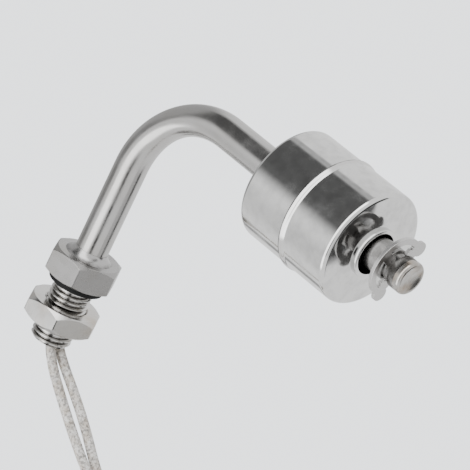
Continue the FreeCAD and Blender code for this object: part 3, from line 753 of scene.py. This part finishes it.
def makeFloatShell(side, name, node):
    # drawn half shell, side 1 above and -1 below, where its mouth flares a little to take the bead
    s = floatSizes
    flare = s["lowerFlare"] if side < 0 else 0.0
    mouth = []
    for i in range(s["flareSteps"] + 1):
        t = i / s["flareSteps"]
        mouth.append((s["seamHalf"] + s["flareHeight"] * t, s["radius"] + flare * (1 - t) ** 2))
    outer = [
        (s["seamHalf"] + s["flareHeight"] + s["flareLand"], s["radius"]), (s["halfCylinder"], s["radius"]),
        (floatTop, s["ledgeR"]), (floatTop, s["tubeR"]),
    ]
    inner = [
        (floatTop - s["wall"], s["tubeR"]), (s["halfCylinder"] - s["wall"], s["radius"] - s["wall"]),
        (s["seamHalf"], s["radius"] - s["wall"]), mouth[0],
    ]
    half = mouth + roundCorner(outer, s["corner"], s["cornerSteps"]) + inner
    bm = bmesh.new()
    turnPiece(bm, [(side * a, r) for a, r in half], floatMiddle, "Z", s["sides"])
    dress(finishMesh(bm, name, smoothAngle=40), "float", floatSteel, [node])


def makeFloatSeam():
    # weld bead whose crest lies above its middle, and whose foot meets the lower shell's flare
    s = floatSizes
    crest = s["seamCrest"]
    bead = [(-s["seamHalf"], s["radius"] - s["wall"])]
    for i in range(s["seamSteps"] + 1):
        t = -1 + 2 * i / s["seamSteps"]
        climb = (t + 1) / (crest + 1) if t < crest else (1 - t) / (1 - crest)
        foot = s["lowerFlare"] if t < crest else 0.0
        proud = foot + (s["seamProud"] - foot) * math.sin(climb * math.pi / 2)
        bead.append((s["seamHalf"] * t, s["radius"] + proud))
    bead += [(s["seamHalf"], s["radius"] - s["wall"]), bead[0]]
    bm = bmesh.new()
    turnPiece(bm, bead, floatMiddle, "Z", s["sides"])
    seam = finishMesh(bm, "floatSeam", smoothAngle=60)
    dress(seam, "float", weldSteel, ["float_seam_weld"])


def makeFloatTube():
    # centre tube with a rolled rim at each end
    s = floatSizes
    rimTop = floatTop + s["rimHeight"]
    rim = [(0, s["bore"]), (rimTop, s["bore"]), (rimTop, s["rimR"]), (floatTop, s["rimR"])]
    half = roundCorner(rim, s["rimRound"], s["rimSteps"]) + [(floatTop, s["tubeR"]), (0, s["tubeR"])]
    profile = half + [(-a, r) for a, r in reversed(half)]
    profile = [p for p, q in zip(profile, profile[1:] + [None]) if p != q]
    bm = bmesh.new()
    turnPiece(bm, profile, floatMiddle, "Z", s["sides"])
    tube = finishMesh(bm, "floatCentreTube", smoothAngle=50)
    dress(tube, "float", floatSteel, ["float_centre_tube"])


makeFloatShell(1, "upperFloatShell", "float_upper_shell")
makeFloatShell(-1, "lowerFloatShell", "float_lower_shell")
makeFloatSeam()
makeFloatTube()
print("float done")

tinned = steelBase("tinnedCopperStrand", {  # dull silvery strands dipped in solder
    "colour": "#c9c6bf", "roughness": 0.3, "grain": 0.12, "relief": 0.01, "stretch": (1.0, 1.0, 0.15),
    "spread": 0.05})
bladeMetal = steelBase("platedNickelIron", {  # warm grey plating with rolling lines along the blade
    "colour": "#c9c2ae", "roughness": 0.25, "grain": 0.2, "relief": 0.003, "stretch": (1.0, 1.0, 0.2),
    "spread": 0.05})
splice = plainFinish(  # black shrink sleeve, softly shiny
    "shrunkPolyolefin", "#1b1b1c", roughness=0.4, grain=0.5, relief=0.02, second="#262627")
jacket = plainFinish(  # smooth waxy off-white wire jacket
    "fluoropolymerWireJacket", "#e4e0d6", roughness=0.35, grain=0.5, relief=0.006)
carried = {
    "float_magnet": plainFinish(  # charcoal ceramic, faintly speckled
        "sinteredFerrite", "#242426", roughness=0.75, grain=0.2, relief=0.02, second="#303033"),
    "magnet_clamp_upper": clipSteel,
    "magnet_clamp_lower": clipSteel,
    "reed_blade_upper": bladeMetal,
    "reed_blade_lower": bladeMetal,
    "reed_sleeve": plainFinish(  # milky sleeve with a low sheen
        "fluoropolymerSleeve", "#e6e4dd", roughness=0.45, grain=0.4, relief=0.01),
    "splice_sleeve_a": splice,
    "splice_sleeve_b": splice,
    "inner_lead_a": jacket,
    "inner_lead_b": jacket,
    "potting_plug": plainFinish(  # dark cast resin with a glossy, slightly wavy skin
        "castEpoxy", "#1d1b19", roughness=0.25, grain=1.2, relief=0.05, second="#2b2824"),
    "coil_tie": plainFinish(  # off-white paper, matt and fibrous
        "paperWireTie", "#dcdbd6", roughness=0.7, grain=0.3, relief=0.03, second="#c9c7c0"),
    "lead_tip_a": tinned,
    "lead_tip_b": tinned,
    "reed_capsule": plainFinish(  # clear glass with a faint green tint
        "drawnReedGlass", "#dfe9e2", roughness=0.05, grain=1.0, relief=0.002,
        **{"Transmission Weight": 0.92, "IOR": 1.49}),
}
for node, material in carried.items():
    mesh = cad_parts[node].data
    mesh.materials.clear()
    mesh.materials.append(material)
print("inner pieces finished")

studio = {
    "floorZ": -0.6, "floorSize": 8.0, "floorColour": "#e4e4e2",
    "backdropColour": "#dfe2e5", "backdropLight": 3.0, "tentLevel": 1.4,
}


def makeFloor():
    bm = bmesh.new()
    bmesh.ops.create_grid(bm, x_segments=2, y_segments=2, size=studio["floorSize"] / 2)
    mesh = bpy.data.meshes.new("paleFloor")
    bm.to_mesh(mesh)
    bm.free()
    floor = bpy.data.objects.new("paleFloor", mesh)
    floor.location.z = studio["floorZ"]
    bpy.context.scene.collection.objects.link(floor)
    paint = plainFinish(  # matt pale paint
        "paintedFloor", studio["floorColour"], roughness=0.8, grain=8.0, relief=0.05)
    mesh.materials.append(paint)
    floor.visible_glossy = False  # the polished steel mirrors the tent instead


# the tent that the steel mirrors: windows laid one over another, each with its limits of compass azimuth
# in degrees and of height as the Z of a direction, the softness of both edges, and its brightness
allRound = (-180, 180)
tentPatches = [
    {"azimuth": allRound, "height": (0.72, 1.2), "soft": (1, 0.2), "level": 0.68},          # ceiling
    {"azimuth": (-160, -95), "height": (0.7, 0.98), "soft": (20, 0.08), "level": 0.4},      # dim corner
    {"azimuth": (-162, -120), "height": (0.42, 0.7), "soft": (30, 0.1), "level": 1.1},      # far sheet
    {"azimuth": (-86, -20), "height": (0.38, 0.8), "soft": (30, 0.1), "level": 0.16},       # open edge
    {"azimuth": (-62, 4), "height": (0.38, 0.8), "soft": (12, 0.1), "level": 0.13},         # open side
    {"azimuth": (4, 13), "height": (0.38, 0.8), "soft": (4, 0.1), "level": 0.6},            # sheet beside it
    {"azimuth": (-150, -8), "height": (-0.28, 0.32), "soft": (10, 0.06), "level": 4.2},     # front soft box
    {"azimuth": (-132, -92), "height": (-0.68, -0.46), "soft": (12, 0.06), "level": 0.04},  # dark stand
    {"azimuth": (60, 132), "height": (-1.2, -0.705), "soft": (10, 0.02), "level": 0.08},    # shade below
    {"azimuth": (132, 180), "height": (-1.2, -0.88), "soft": (14, 0.04), "level": 0.85},    # and beside it
    {"azimuth": (150, 160), "height": (0.2, 0.9), "soft": (4, 0.1), "level": 0.5},          # sheet gap
]


def windowMask(tree, value, low, high, soft):
    # one where a value lies between two limits, with soft edges
    rise = addNode(tree, "ShaderNodeMapRange", {
        "interpolation_type": "SMOOTHSTEP", "From Min": low - soft / 2, "From Max": low + soft / 2,
    }, {"Value": value})
    fall = addNode(tree, "ShaderNodeMapRange", {
        "interpolation_type": "SMOOTHSTEP", "From Min": high - soft / 2, "From Max": high + soft / 2,
        "To Min": 1.0, "To Max": 0.0,
    }, {"Value": value})
    return multiply(tree, rise.outputs["Result"], fall.outputs["Result"])


def makeStudioLight():
    # the tent lights the part, and the camera sees a plain pale backdrop
    world = bpy.data.worlds.new("softStudio")
    bpy.context.scene.world = world
    world.use_nodes = True
    tree = world.node_tree
    tree.nodes.clear()
    place = addNode(tree, "ShaderNodeTexCoord")
    parts = addNode(tree, "ShaderNodeSeparateXYZ", links={"Vector": place.outputs["Generated"]})
    compass = addNode(
        tree, "ShaderNodeMath", {"operation": "ARCTAN2"}, {0: parts.outputs["Y"], 1: parts.outputs["X"]})
    degrees = addNode(tree, "ShaderNodeMath", {"operation": "DEGREES"}, {0: compass.outputs[0]})
    base = addNode(tree, "ShaderNodeValue")
    base.outputs[0].default_value = studio["tentLevel"]
    level = base.outputs[0]
    for patch in tentPatches:
        besideSoft, heightSoft = patch["soft"]
        amount = windowMask(tree, parts.outputs["Z"], *patch["height"], heightSoft)
        if patch["azimuth"] != allRound:
            beside = windowMask(tree, degrees.outputs[0], *patch["azimuth"], besideSoft)
            amount = multiply(tree, amount, beside)
        blend = addNode(
            tree, "ShaderNodeMix", {"data_type": "FLOAT", 3: patch["level"]}, {0: amount, 2: level})
        level = blend.outputs[0]
    lit = addNode(tree, "ShaderNodeBackground", {"Color": toLinear("#ffffff")}, {"Strength": level})
    seen = addNode(tree, "ShaderNodeBackground", {
        "Color": toLinear(studio["backdropColour"]), "Strength": studio["backdropLight"]})
    path = addNode(tree, "ShaderNodeLightPath")
    mix = addNode(tree, "ShaderNodeMixShader", links={
        0: path.outputs["Is Camera Ray"], 1: lit.outputs[0], 2: seen.outputs[0]})
    addNode(tree, "ShaderNodeOutputWorld", links={"Surface": mix.outputs[0]})


makeFloor()
makeStudioLight()
print("studio ready")
